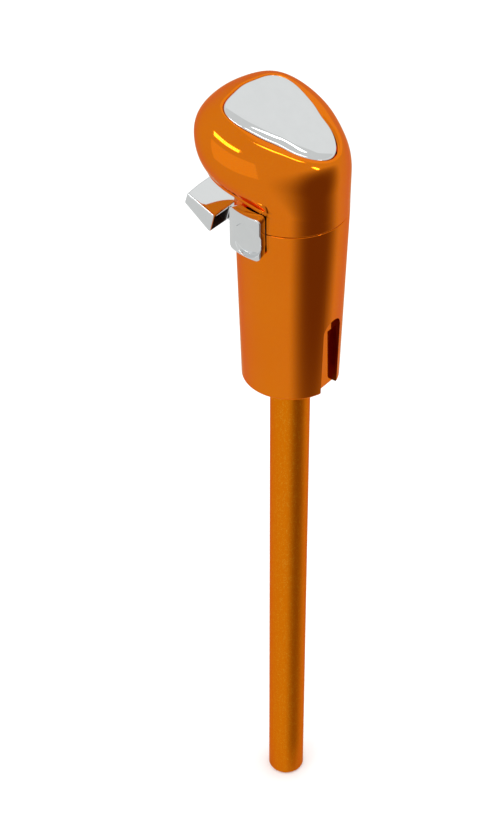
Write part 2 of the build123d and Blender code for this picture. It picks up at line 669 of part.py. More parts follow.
# ---------------------------------------------------------------- write
NODES = {
    "shaft_extension": shaft_extension, "jam_nut": jam_nut, "cover_washer": cover_washer,
    "threaded_insert": threaded_insert, "base_plate": base_plate, "base_gasket": base_gasket,
    "base_plate_screws": base_plate_screws, "compression_nuts": compression_nuts,
    "ferrules": ferrules, "lower_cover": lower_cover, "upper_housing": upper_housing,
    "housing_screws": housing_screws, "top_insert": top_insert, "insert_pad": insert_pad,
    "valve_body": valve_body, "range_bore_plug": range_bore_plug,
    "range_lever_pin": range_lever_pin, "range_detent_spring": range_detent_spring,
    "range_detent_ball": range_detent_ball, "range_lever": range_lever,
    "range_spool": range_spool, "range_spool_seals": range_spool_seals,
    "splitter_pivot_pin": splitter_pivot_pin, "splitter_detent_spring": splitter_detent_spring,
    "splitter_detent_ball": splitter_detent_ball, "splitter_carrier": splitter_carrier,
    "splitter_button": splitter_button, "splitter_button_screw": splitter_button_screw,
    "splitter_valve_body": splitter_valve_body, "splitter_valve_screws": splitter_valve_screws,
    "splitter_bore_plug": splitter_bore_plug, "splitter_port_seal": splitter_port_seal,
    "splitter_spool": splitter_spool, "splitter_spool_seals": splitter_spool_seals,
}


def main():
    os.makedirs("parts", exist_ok=True)
    for name, make in NODES.items():
        export_step(make(), f"parts/{name}.step")
    for name in PORTS:
        export_step(air_fitting(name), f"parts/{name}_fitting.step")


main()
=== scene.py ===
"""Looks of the truck gearshift knob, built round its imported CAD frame. Metres, +Z up, +X the nose."""

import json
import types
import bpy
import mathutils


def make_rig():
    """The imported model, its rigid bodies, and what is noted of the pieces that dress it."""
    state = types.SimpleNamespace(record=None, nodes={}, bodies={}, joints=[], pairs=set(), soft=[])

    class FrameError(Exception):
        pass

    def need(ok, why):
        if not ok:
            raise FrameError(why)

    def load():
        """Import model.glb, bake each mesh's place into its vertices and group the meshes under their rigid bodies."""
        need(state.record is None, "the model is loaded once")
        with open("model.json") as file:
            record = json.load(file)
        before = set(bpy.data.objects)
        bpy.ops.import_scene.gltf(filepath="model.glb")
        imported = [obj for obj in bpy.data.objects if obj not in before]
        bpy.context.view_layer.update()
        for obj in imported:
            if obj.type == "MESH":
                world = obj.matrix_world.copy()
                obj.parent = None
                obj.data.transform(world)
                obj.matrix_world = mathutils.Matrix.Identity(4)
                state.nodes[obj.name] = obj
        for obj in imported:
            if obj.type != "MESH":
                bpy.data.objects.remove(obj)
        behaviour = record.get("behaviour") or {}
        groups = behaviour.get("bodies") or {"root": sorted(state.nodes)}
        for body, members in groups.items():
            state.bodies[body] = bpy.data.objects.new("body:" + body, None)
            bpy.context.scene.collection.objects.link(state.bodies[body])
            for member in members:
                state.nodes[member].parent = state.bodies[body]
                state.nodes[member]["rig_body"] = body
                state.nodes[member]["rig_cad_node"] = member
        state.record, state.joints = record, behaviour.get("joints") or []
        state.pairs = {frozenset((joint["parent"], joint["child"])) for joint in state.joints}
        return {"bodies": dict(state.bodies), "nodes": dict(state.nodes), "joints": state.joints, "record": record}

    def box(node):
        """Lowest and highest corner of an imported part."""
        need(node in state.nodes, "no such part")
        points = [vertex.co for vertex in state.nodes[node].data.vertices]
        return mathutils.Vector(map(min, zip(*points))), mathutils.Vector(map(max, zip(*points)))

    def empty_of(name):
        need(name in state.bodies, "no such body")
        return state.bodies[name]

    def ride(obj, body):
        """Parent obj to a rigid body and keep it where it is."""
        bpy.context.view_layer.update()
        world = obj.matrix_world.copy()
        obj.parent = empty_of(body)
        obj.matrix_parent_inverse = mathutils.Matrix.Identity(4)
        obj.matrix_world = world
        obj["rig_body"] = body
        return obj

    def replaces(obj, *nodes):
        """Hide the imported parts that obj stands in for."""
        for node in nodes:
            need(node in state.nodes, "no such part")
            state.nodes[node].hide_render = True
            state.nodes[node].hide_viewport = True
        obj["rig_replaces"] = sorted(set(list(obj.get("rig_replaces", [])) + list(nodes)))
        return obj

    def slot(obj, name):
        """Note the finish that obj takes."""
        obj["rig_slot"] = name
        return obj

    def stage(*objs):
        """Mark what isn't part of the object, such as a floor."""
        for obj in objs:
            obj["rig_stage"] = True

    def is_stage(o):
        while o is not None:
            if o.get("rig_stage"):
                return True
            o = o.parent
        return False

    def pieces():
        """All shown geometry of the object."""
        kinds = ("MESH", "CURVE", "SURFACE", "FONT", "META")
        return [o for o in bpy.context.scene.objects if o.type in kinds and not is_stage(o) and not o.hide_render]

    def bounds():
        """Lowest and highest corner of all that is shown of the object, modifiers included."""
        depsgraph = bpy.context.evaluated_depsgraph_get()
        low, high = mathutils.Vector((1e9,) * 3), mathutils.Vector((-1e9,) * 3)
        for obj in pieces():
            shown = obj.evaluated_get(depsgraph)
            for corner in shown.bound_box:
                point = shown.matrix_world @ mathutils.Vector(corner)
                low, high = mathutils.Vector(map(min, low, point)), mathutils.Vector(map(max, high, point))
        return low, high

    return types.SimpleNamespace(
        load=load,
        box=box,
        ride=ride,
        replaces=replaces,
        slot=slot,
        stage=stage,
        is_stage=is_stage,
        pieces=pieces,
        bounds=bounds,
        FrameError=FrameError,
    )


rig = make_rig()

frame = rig.load()
CAD_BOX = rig.bounds()

import json
from math import atan, atan2, ceil, cos, degrees, hypot, pi, radians, sin, sqrt

import bmesh
import bpy
import numpy as np
from mathutils import Matrix, Quaternion, Vector

MM = 0.001

# ---------------------------------------------------------------- sizes read from the frame
COVER_LOW, COVER_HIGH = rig.box("lower_cover")
SEAM_GAP = 0.3 * MM
SEAM = COVER_HIGH.z + SEAM_GAP          # top of the lower cover, bottom of the upper housing
RIM = COVER_LOW.z
SHAFT_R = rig.box("shaft_extension")[1].x
STUD_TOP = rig.box("shaft_extension")[1].z
SHAFT_TOP = 304.8 * MM
TAP_R = 5.36 * MM
TAP_DEPTH = 19.0 * MM
NECK_R = 25.4 * MM
RIM_R = 22.9 * MM

# ---------------------------------------------------------------- sizes in millimetres, as in the CAD
# Head rings: radii every 30 degrees from the nose to the back, in plan. Heights are over the seam.
CREASE_RING = [38.6, 38.4, 31.0, 26.0, 25.4, 25.4, 25.4]
WIDEST_RING = [40.8, 42.2, 39.2, 31.0, 26.2, 25.5, 25.4]
CREASE_H, CREASE_SLOPE = 10.2, 0.2275
WIDEST_H, WIDEST_SLOPE = 26.0, 0.33
ROOF_H, ROOF_SLOPE = 39.85, 0.382
# Top insert: radii every 22.5 degrees about its own centre.
TOP_RING = [23.9, 24.7, 26.8, 22.2, 18.1, 16.5, 18.3, 21.5, 24.0]
TOP_CENTRE_X = 3.2
RIM_LAND = 1.2
RECESS_GAP = 0.35
RECESS_DEPTH = 3.6
HOUSING_WALL = 2.5
HEAD_COLUMNS = 288
CREASE_EDGE = 2.0
NECK_FILLET = 2.5
SEAM_ROUND = 0.3
RECESS_ROOF = 2.2                       # housing's thickness under the recess
TONGUE_R, TONGUE_AZ, TONGUE_LOW = (23.3, 25.1), (-12.2, 12.2), 358.6

# The insert's crown over the roof plane, and its edge that falls away on the splitter button's side.
CROWN, CROWN_R = 1.6, 340.0
INSERT_ROLL, INSERT_FLOOR = 0.7, 0.6
DROOP, DROOP_FROM, DROOP_AZ = 1.5, 0.7, 132.0

SLOT_HALF = 6.2
SLOT_TOP = 314.4
SLOT_FLOOR_X = -19.5
SLOT_FLOOR_TOP = 306.5
SLOT_SKIN = 1.5
CHANNEL_SHADE_DEPTH = 0.35                    # where the painted shade begins, under the cover's outside
COVER_WALL = 2.0
COVER_FOOT_ROUND, COVER_HEAD_ROUND, COVER_CHAMFER = 1.0, 0.3, 0.4
STEM_HALF = 5.0
NOTCH_LOW = 342.0
NOTCH_GAP = 0.9
WINDOW_AZ = (74.3, 100.7)
WINDOW_Z = (354.9, 373.6)
WEB_Z = (315.6, 318.6)
WEB_BORE_R, FITTING_BORE_R = 6.65, 5.1

SHAFT_CHAMFER = 0.8
THREAD_PITCH = 25.4 / 13
STUD_ROOT_R, STUD_CREST = 5.36, 0.99
TAP_CREST = 0.95

# The range lever's sections are corners in X and Z.
LEVER_PIVOT = (16.0, 353.0)
PADDLE_SIDE = [(30.6, 356.9), (47.1, 363.1), (48.9, 357.4), (33.3, 347.0)]
STEM_SIDE = [(16.0, 357.0), (26.0, 357.0), (31.5, 356.6), (33.9, 348.4), (27.0, 347.6), (16.0, 351.0)]
LEVER_HALF = 17.4
LEVER_BOW = 105.0
PADDLE_POCKET = [(29.5, 355.1), (38.4, 358.5), (38.8, 352.1), (31.7, 347.4)]
POCKET_HALF, POCKET_Y = 4.75, 11.25
POCKET_MOUTH_X, POCKET_SLACK = 31.0, 0.2
HUB_R, HUB_SEAT_R, HUB_SEAT_HALF, PIN_BORE_R = 4.7, 3.4, 7.0, 2.05
TAIL_ARM, TAIL_ROOT, TAIL_LEAN = 8.5, 3.0, 13.0
EAR_HALF, EAR_Y, EAR_THICK = 1.25, 3.1, 1.8
TAIL_TIP_R, TAIL_TIP_HALF, TAIL_TIP_CHAMFER = 1.9, 1.3, 0.2

BUTTON_R = (26.1, 31.0)
BUTTON_AZ = (65.0, 100.3)
BUTTON_Z = (353.6, 374.6)
SCOOP_R, SCOOP_DEPTH, SCOOP_AZ = 30.0, 2.6, 89.5
SCOOP_EDGE_R, SCOOP_EDGE_AZ, SCOOP_EDGE_Z = 8.15, 87.0, 362.35

# ---------------------------------------------------------------- camera and studio, in metres
CAMERA_PLACE = Vector((-0.3974, 0.5393, 0.781))
CAMERA_FORWARD = Vector((0.4834, -0.6184, -0.6198))
CAMERA_UP = Vector((0.3818, -0.4884, 0.7848))
CAMERA_ROLL = 0.37
CAMERA_LENS = 78.8

# The room as the gloss shows it: where its darker side is, and how near to that it starts and ends.
DARK_SIDE = (50, -20)
DARK_STARTS, DARK_FULL = 0.60, 0.98
ROOM_PALE, ROOM_DARK = (0.68, 0.68, 0.66), (0.15, 0.095, 0.075)
# The lamps in that room: azimuth, elevation, size, roll and brightness.
SOFTBOXES = {
    "softbox_left": (-38, 12, (1.8, 1.2), 0, 0.16),
    "softbox_back": (147, 40, (1.2, 1.0), 0, 0.16),
    "strip_left": (-46, 52, (0.9, 0.24), 8, 4.5),
    "strip_behind": (107, 67, (0.5, 0.14), 20, 4.5),
    "strip_right": (56, 31, (0.10, 0.40), 0, 6.0),
}
LAMP_TARGET, LAMP_DISTANCE = Vector((0, 0, 0.38)), 1.5


# ---------------------------------------------------------------- mesh helpers
def new_object(name, points, faces, sharp=35.0):
    """Smooth-shaded mesh object from points in millimetres, sharp where faces meet at over an angle."""
    mesh = bpy.data.meshes.new(name)
    mesh.from_pydata([tuple(c * MM for c in p) for p in points], [], faces)
    mesh.validate()
    mesh.update()
    obj = bpy.data.objects.new(name, mesh)
    bpy.context.scene.collection.objects.link(obj)
    tidy(obj, sharp)
    return obj


def tidy(obj, sharp=35.0):
    """Outward normals, smooth shading, and sharp edges only past an angle."""
    work = bmesh.new()
    work.from_mesh(obj.data)
    bmesh.ops.remove_doubles(work, verts=work.verts, dist=2e-6)
    bmesh.ops.dissolve_degenerate(work, edges=work.edges, dist=1e-6)
    loose = [edge for edge in work.edges if not edge.link_faces]
    bmesh.ops.delete(work, geom=loose, context="EDGES")
    bmesh.ops.recalc_face_normals(work, faces=work.faces)
    work.to_mesh(obj.data)
    work.free()
    obj.data.shade_smooth()
    obj.data.set_sharp_from_angle(angle=radians(sharp))


def column_faces(columns, count, rows=None):
    """Quads between neighbouring columns round an axis; every column has count points, in a loop."""
    faces = []
    for i in range(columns):
        j = (i + 1) % columns
        for k in range(rows or count):
            m = (k + 1) % count
            faces.append((i * count + k, j * count + k, j * count + m, i * count + m))
    return faces


def bar_faces(count):
    """Faces between an outline and its copy, with a cap at each end."""
    faces = [tuple(range(count)), tuple(range(2 * count - 1, count - 1, -1))]
    faces += [(i, (i + 1) % count, count + (i + 1) % count, count + i) for i in range(count)]
    return faces


def lathe(name, profile, steps=192, sharp=35.0):
    """Closed turned solid; the profile is a loop of (radius, z) in millimetres."""
    count = len(profile)
    points = []
    for i in range(steps):
        a = 2 * pi * i / steps
        points += [(r * cos(a), r * sin(a), z) for r, z in profile]
    return new_object(name, points, column_faces(steps, count), sharp)


def arc(cx, cz, r, a0, a1, steps=5):
    """Points of a round corner in a profile."""
    return [(cx + r * cos(radians(a0 + (a1 - a0) * i / steps)),
             cz + r * sin(radians(a0 + (a1 - a0) * i / steps))) for i in range(steps + 1)]


def apply_modifiers(obj):
    """Bakes the object's modifiers into its mesh."""
    graph = bpy.context.evaluated_depsgraph_get()
    mesh = bpy.data.meshes.new_from_object(obj.evaluated_get(graph))
    old = obj.data
    obj.modifiers.clear()
    obj.data = mesh
    mesh.name = obj.name
    bpy.data.meshes.remove(old)


def combine(obj, other, operation):
    """Boolean with another closed mesh, which is used up."""
    modifier = obj.modifiers.new("cut", "BOOLEAN")
    modifier.operation = operation
    modifier.solver = "EXACT"
    modifier.object = other
    apply_modifiers(obj)
    bpy.data.objects.remove(other)


def prism(name, outline, x0, x1):
    """Bar along X whose front view is the outline of (y, z)."""
    points = [(x, y, z) for x in (x0, x1) for y, z in outline]
    return new_object(name, points, bar_faces(len(outline)))


def sector_block(name, r0, r1, a0, a1, z0, z1, corner=0.0):
    """Piece of a ring wall between two azimuths, with rounded corners in its unrolled outline."""
    mid_r = (r0 + r1) / 2
    half_s = radians(a1 - a0) / 2 * mid_r
    mid_a = radians(a0 + a1) / 2
    outline = rounded_rect(half_s, (z1 - z0) / 2, corner)
    points = []
    for r in (r0, r1):
        for s, z in outline:
            a = mid_a + s / mid_r
            points.append((r * cos(a), r * sin(a), (z0 + z1) / 2 + z))
    return new_object(name, points, bar_faces(len(outline)))


def rounded_rect(half_w, half_h, corner, per_side=10):
    """Outline with round corners and points along its sides."""
    corner = max(corner, 0.01)
    points = []
    for sx, sy, start in ((1, 1, 0), (-1, 1, 90), (-1, -1, 180), (1, -1, 270)):
        cx, cy = sx * (half_w - corner), sy * (half_h - corner)
        points += arc(cx, cy, corner, start, start + 90, 6)
        length = 2 * (half_w - corner) if start in (0, 180) else 2 * (half_h - corner)
        dx, dy = {0: (-1, 0), 90: (0, -1), 180: (1, 0), 270: (0, 1)}[start]
        last = points[-1]
        for i in range(1, per_side):
            points.append((last[0] + dx * length * i / per_side, last[1] + dy * length * i / per_side))
    return points


def ring_radius(ring, angle):
    """Smooth even ring through radii given at equal steps from angle 0 to pi."""
    last = len(ring) - 1
    total = 0.0
    for k in range(last + 1):
        term = 0.0
        for j, radius in enumerate(ring):
            weight = 0.5 if j in (0, last) else 1.0
            term += weight * radius * cos(pi * j * k / last)
        if k in (0, last):
            term /= 2
        total += 2 * term / last * cos(k * angle)
    return total


def cover_radius(z):
    """Outside radius of the lower cover, in millimetres, at a height in millimetres."""
    share = (z - RIM / MM) / ((SEAM - RIM) / MM)
    return (RIM_R + (NECK_R - RIM_R) * share) / MM


# ---------------------------------------------------------------- head
def bezier(p0, p1, p2, steps):
    """Points of a quadratic curve after its first one."""
    out = []
    for i in range(1, steps + 1):
        t = i / steps
        out.append(tuple((1 - t) ** 2 * a + 2 * t * (1 - t) * b + t * t * c
                         for a, b, c in zip(p0, p1, p2)))
    return out


def resample(points, count):
    """The polyline cut into equal lengths."""
    pts = np.array(points, float)
    steps = np.linalg.norm(np.diff(pts, axis=0), axis=1)
    along = np.concatenate([[0], np.cumsum(steps)])
    want = np.linspace(0, along[-1], count)
    return [tuple(np.interp(w, along, pts[:, i]) for i in range(3)) for w in want]


def head_column(angle, inset, drop, top_step):
    """Points up one side of the head, from the seam to the roof's edge, in millimetres over the seam."""
    cx, sy = cos(angle), sin(angle)
    neck = NECK_R / MM - inset
    crease = max(ring_radius(CREASE_RING, angle) - inset, neck)
    widest = max(ring_radius(WIDEST_RING, angle) - inset, neck)
    top = ring_radius(TOP_RING, angle) + top_step
    roof_x, roof_y = TOP_CENTRE_X + top * cx, top * sy
    roof_h = ROOF_H + ROOF_SLOPE * roof_x - drop
    crease_h = CREASE_H + CREASE_SLOPE * crease * cx + inset
    neck_h = CREASE_H + CREASE_SLOPE * neck * cx + inset
    widest_h = WIDEST_H + WIDEST_SLOPE * widest * cx

    def at(r, h):
        return (r * cx, r * sy, h)
    reach = crease - neck
    fillet = min(NECK_FILLET, reach / 2)
    edge = min(CREASE_EDGE, reach / 2)
    lower = [at(neck, SEAM_ROUND), at(neck, neck_h - NECK_FILLET)]
    lower += bezier(lower[-1], at(neck, neck_h), at(neck + fillet, neck_h + CREASE_SLOPE * fillet * cx), 12)
    turn = at(crease - edge, crease_h - CREASE_SLOPE * edge * cx)
    lower.append(turn)
    lower += bezier(turn, at(crease, crease_h), at(crease, crease_h + CREASE_EDGE), 12)
    lower = resample(lower, 84)
    side = widest_h - crease_h - CREASE_EDGE
    upper = []
    for i in range(1, 25):
        part = i / 24
        bulge = 1 - (1 - part) ** 2
        upper.append(at(crease + (widest - crease) * bulge, crease_h + CREASE_EDGE + side * part))
    for i in range(1, 41):
        turn_a = radians(90 * i / 40)
        over, up = 1 - cos(turn_a), sin(turn_a)
        upper.append((widest * cx + (roof_x - widest * cx) * over,
                      widest * sy + (roof_y - widest * sy) * over,
                      widest_h + (roof_h - widest_h) * up))
    return lower + upper


def roof_point(angle, step, drop):
    """Point of the insert's outline grown in plan by step, that far under the roof plane."""
    radius = ring_radius(TOP_RING, angle) + step
    x, y = TOP_CENTRE_X + radius * cos(angle), radius * sin(angle)
    return (x, y, ROOF_H + ROOF_SLOPE * x - drop)


def make_upper_housing():
    """Head shell: outside, land round the insert, recess, and the inner skin, in closed columns."""
    points = []
    for i in range(HEAD_COLUMNS):
        angle = 2 * pi * i / HEAD_COLUMNS
        cx, sy = cos(angle), sin(angle)
        neck = NECK_R / MM
        column = [((neck - r) * cx, (neck - r) * sy, h) for r, h in ((SEAM_ROUND, 0.0), (0.09, 0.09))]
        column += head_column(angle, 0.0, 0.0, RIM_LAND)
        column += [roof_point(angle, RECESS_GAP + 0.3, 0.0), roof_point(angle, RECESS_GAP + 0.09, 0.09)]
        column += [roof_point(angle, RECESS_GAP, 0.3), roof_point(angle, RECESS_GAP, RECESS_DEPTH)]
        column += [roof_point(angle, -8.0, RECESS_DEPTH)]
        centre_h = ROOF_H + ROOF_SLOPE * TOP_CENTRE_X
        column += [(TOP_CENTRE_X, 0.0, centre_h - RECESS_DEPTH)]
        column += [(TOP_CENTRE_X, 0.0, centre_h - RECESS_DEPTH - RECESS_ROOF)]
        inside = head_column(angle, HOUSING_WALL, RECESS_DEPTH + RECESS_ROOF, -1.0)
        column += inside[::-6]
        column += [((neck - HOUSING_WALL) * cx, (neck - HOUSING_WALL) * sy, 0.0)]
        points += column
        count = len(column)
    points = [(x, y, z + SEAM / MM) for x, y, z in points]
    head = new_object("upper_housing_shell", points, column_faces(HEAD_COLUMNS, count))
    combine(head, window_cutter(), "DIFFERENCE")
    tongue = sector_block("tongue", *TONGUE_R, *TONGUE_AZ, TONGUE_LOW, SEAM / MM + 1.5, 0.5)
    join(head, tongue)
    tidy(head)
    return head


def window_cutter():
    """Block that opens the button's window through the housing and the cover."""
    return sector_block("window_cutter", 20.5, 29.0, *WINDOW_AZ, *WINDOW_Z, 2.0)


def join(obj, *others):
    """Takes other meshes into the object."""
    work = bmesh.new()
    work.from_mesh(obj.data)
    for other in others:
        work.from_mesh(other.data)
        bpy.data.objects.remove(other)
    work.to_mesh(obj.data)
    work.free()


def arch_outline(half, top, bottom, steps=24):
    """Front view of the air line channel: straight sides under a half circle."""
    spring_z = top - half
    outline = [(-half, bottom)]
    outline += [(-half * cos(pi * i / steps), spring_z + half * sin(pi * i / steps))
                for i in range(steps + 1)]
    outline.append((half, bottom))
    return outline


def make_lower_cover():
    """Tapered shell with its web, the channel for the air lines and two notches."""
    rim, top = RIM / MM, COVER_HIGH.z / MM
    low_r, high_r = cover_radius(rim), cover_radius(top)
    foot_round, head_round, chamfer = COVER_FOOT_ROUND, COVER_HEAD_ROUND, COVER_CHAMFER
    foot = arc(low_r - foot_round, rim + foot_round, foot_round, -90, 0, 8)
    head = arc(high_r - head_round, top - head_round, head_round, 0, 90, 4)
    profile = foot + head + [(high_r - COVER_WALL, top), (low_r - COVER_WALL, rim + chamfer)]
    profile.append((low_r - COVER_WALL + chamfer, rim))
    cover = lathe("lower_cover_shell", profile, 256)
    core = lathe("core", [(0, rim), (low_r - 0.5, rim), (high_r - 0.5, top), (0, top)], 128)
    duct_outline = arch_outline(SLOT_HALF + SLOT_SKIN, SLOT_TOP + SLOT_SKIN, rim + 0.02)
    duct = prism("duct", duct_outline, -NECK_R / MM, SLOT_FLOOR_X + SLOT_SKIN)
    combine(duct, core, "INTERSECT")
    combine(cover, duct, "UNION")
    web_r = cover_radius(WEB_Z[0]) - COVER_WALL + 0.5
    web_low, web_high = WEB_Z
    web = lathe("web", [(WEB_BORE_R, web_low), (web_r, web_low),
                        (web_r, web_high), (WEB_BORE_R, web_high)], 128)
    for node in ("supply_fitting", "range_fitting", "splitter_fitting"):
        low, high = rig.box(node)
        hole = lathe("hole", [(0, web_low - 1), (FITTING_BORE_R, web_low - 1),
                              (FITTING_BORE_R, web_high + 1), (0, web_high + 1)], 48)
        hole.data.transform(Matrix.Translation(((low.x + high.x) / 2, (low.y + high.y) / 2, 0)))
        combine(web, hole, "DIFFERENCE")
    combine(cover, web, "UNION")
    slot = prism("slot", arch_outline(SLOT_HALF, SLOT_TOP, rim - 1), -NECK_R / MM - 2, SLOT_FLOOR_X)
    combine(cover, slot, "DIFFERENCE")
    mouth_outline = arch_outline(SLOT_HALF, SLOT_TOP, SLOT_FLOOR_TOP)
    mouth = prism("mouth", mouth_outline, SLOT_FLOOR_X - 1, SLOT_FLOOR_X + SLOT_SKIN + 1)
    combine(cover, mouth, "DIFFERENCE")
    notch_mid = (NOTCH_LOW + top + 4) / 2
    outline = rounded_rect(STEM_HALF + NOTCH_GAP, (top + 4 - NOTCH_LOW) / 2, 2.0)
    notch = prism("notch", [(y, z + notch_mid) for y, z in outline], 15, 32)
    combine(cover, notch, "DIFFERENCE")
    combine(cover, window_cutter(), "DIFFERENCE")
    soften(cover, 0.22)
    return cover


def soften(obj, width, angle=40.0, segments=2):
    """Small round on every sharp edge."""
    modifier = obj.modifiers.new("edges", "BEVEL")
    modifier.width = width * MM
    modifier.segments = segments
    modifier.limit_method = "ANGLE"
    modifier.angle_limit = radians(angle)
    modifier.use_clamp_overlap = True
    apply_modifiers(obj)
    tidy(obj)


def threaded(radius, crest, z0, z1, pitch, fade):
    """Profile stations of a thread between two heights: (z, base radius, crest height there)."""
    steps = ceil(abs(z1 - z0) / pitch * 10)
    stations = []
    for i in range(steps + 1):
        z = z0 + (z1 - z0) * i / steps
        near = min(abs(z - z0), abs(z - z1))
        stations.append((z, radius, crest * min(1.0, near / fade)))
    return stations


def make_shaft():
    """Turned bar with a threaded stud at the top and a threaded hole at the bottom."""
    pitch, chamfer = THREAD_PITCH, SHAFT_CHAMFER
    bar_r, bar_top, stud_top = SHAFT_R / MM, SHAFT_TOP / MM, STUD_TOP / MM
    stations = [(0.0, TAP_R / MM + 0.9, 0.0), (0.0, bar_r - chamfer, 0.0)]
    stations += [(0.12, bar_r - 0.66 * chamfer, 0.0)]
    stations += [(0.66 * chamfer, bar_r - 0.12, 0.0), (chamfer + 0.1, bar_r, 0.0)]
    stations += [(bar_top * k / 12, bar_r, 0.0) for k in range(1, 12)]
    stations += [(bar_top - chamfer, bar_r, 0.0), (bar_top, bar_r - chamfer, 0.0), (bar_top, 5.4, 0.0)]
    stations += threaded(STUD_ROOT_R, STUD_CREST, bar_top + 0.2, stud_top - 1.0, pitch, 1.5)
    stations += [(stud_top, 5.2, 0.0), (stud_top, 0.0, 0.0)]
    stations += [(TAP_DEPTH / MM + 3.0, 0.0, 0.0), (TAP_DEPTH / MM, TAP_R / MM, 0.0)]
    stations += threaded(TAP_R / MM, TAP_CREST, TAP_DEPTH / MM - 0.5, 1.0, pitch, 1.5)
    steps = 144
    count = len(stations)
    points = []
    for i in range(steps):
        turn = i / steps
        for z, radius, crest in stations:
            saw = (z / pitch - turn) % 1.0
            r = radius + crest * (1 - abs(2 * saw - 1))
            points.append((r * cos(2 * pi * turn), r * sin(2 * pi * turn), z))
    return new_object("shaft_bar", points, column_faces(steps, count), 30)


def make_top_insert():
    """Plated plate: a low crown, rolled edges and a flat back, on the roof plane."""
    tilt = atan(ROOF_SLOPE)
    stretch = 1 / cos(tilt)
    roll = INSERT_ROLL
    back = INSERT_FLOOR - RECESS_DEPTH
    shares = [0.0] + [sqrt(k / 48) for k in range(1, 49)]
    points = []
    for i in range(HEAD_COLUMNS):
        angle = 2 * pi * i / HEAD_COLUMNS
        outline = ring_radius(TOP_RING, angle)
        near = (0.5 + 0.5 * cos(angle - radians(DROOP_AZ))) ** 2

        def at(radius, height):
            u, v = radius * cos(angle) * stretch, radius * sin(angle)
            x = TOP_CENTRE_X + u * cos(tilt) - height * sin(tilt)
            z = SEAM / MM + ROOF_H + ROOF_SLOPE * TOP_CENTRE_X + u * sin(tilt) + height * cos(tilt)
            return (x, v, z)

        def crown_at(radius):
            u, v = radius * cos(angle) * stretch, radius * sin(angle)
            bend = max(0.0, radius / outline - DROOP_FROM) / (1 - DROOP_FROM)
            return CROWN - (u * u + v * v) / (2 * CROWN_R) - DROOP * near * bend * bend
        column = [at((outline - roll) * share, crown_at((outline - roll) * share)) for share in shares]
        edge = crown_at(outline - roll)
        for k in range(1, 9):
            turn = radians(90 * k / 8)
            column.append(at(outline - roll + roll * sin(turn), edge - roll + roll * cos(turn)))
        column += [at(outline, back + 0.2), at(outline - 0.2, back), at(outline * 0.5, back), at(0, back)]
        points += column
        count = len(column)
    return new_object("top_insert_plate", points, column_faces(HEAD_COLUMNS, count, count - 1))


def rounded_section(corners, radius, inset, steps=6):
    """Convex outline with rolled corners, moved inwards by an inset of up to the radius."""
    count = len(corners)
    area = sum(corners[i][0] * corners[(i + 1) % count][1] - corners[(i + 1) % count][0] * corners[i][1]
               for i in range(count))
    if area < 0:
        corners = corners[::-1]
    section = []
    for i in range(count):
        here, before, after = (Vector(corners[k % count]) for k in (i, i - 1, i + 1))
        into, out = (here - before).normalized(), (after - here).normalized()
        n_in, n_out = Vector((into.y, -into.x)), Vector((out.y, -out.x))
        bisect = (n_in + n_out).normalized()
        centre = here - bisect * (radius / max(bisect.dot(n_in), 0.2))
        a0, a1 = atan2(n_in.y, n_in.x), atan2(n_out.y, n_out.x)
        while a1 < a0:
            a1 += 2 * pi
        r = max(radius - inset, 0.02)
        for k in range(steps + 1):
            a = a0 + (a1 - a0) * k / steps
            section.append((centre.x + r * cos(a), centre.y + r * sin(a)))
    return section


def swept_side(name, corners_at, half, radius, slices=24, crown=0.0):
    """Bar along Y with every edge rolled; corners_at(y) gives its section's corners in X and Z."""
    half -= crown
    stations = []
    for k in range(7):
        turn = radians(90 * k / 6)
        stations.append((half - radius + radius * sin(turn), radius * (1 - cos(turn))))
    inner = half - radius
    ys = [(-y, inset) for y, inset in reversed(stations)]
    ys += [(-inner + 2 * inner * k / slices, 0.0) for k in range(1, slices)]
    ys += stations
    rings = [[(x, y, z) for x, z in rounded_section(corners_at(y), radius, inset)] for y, inset in ys]
    count = len(rings[0])
    if crown:
        for side in (-1, 1):
            rim = rings[-1] if side > 0 else rings[0]
            mid_x, mid_z = (sum(p[k] for p in rim) / count for k in (0, 2))
            for step in range(1, 10):
                share = 1 - step / 10
                y = side * (half + crown * (1 - share * share))
                ring = [(mid_x + (x - mid_x) * share, y, mid_z + (z - mid_z) * share) for x, _, z in rim]
                rings = rings + [ring] if side > 0 else [ring] + rings
    points = [point for ring in rings for point in ring]
    faces = []
    for i in range(len(rings) - 1):
        for k in range(count):
            m = (k + 1) % count
            faces.append((i * count + k, i * count + m, (i + 1) * count + m, (i + 1) * count + k))
    faces.append(tuple(range(count)))
    faces.append(tuple(len(points) - 1 - k for k in range(count)))
    return new_object(name, points, faces, 30)


def paddle_corners(y):
    """The paddle's section, with its outer edge bowed in plan."""
    bow = LEVER_BOW - sqrt(LEVER_BOW ** 2 - y ** 2)
    (x0, z0), (x1, z1), (x2, z2), (x3, z3) = PADDLE_SIDE
    return [(x0, z0), (x1 - bow, z1), (x2 - bow, z2), (x3, z3)]


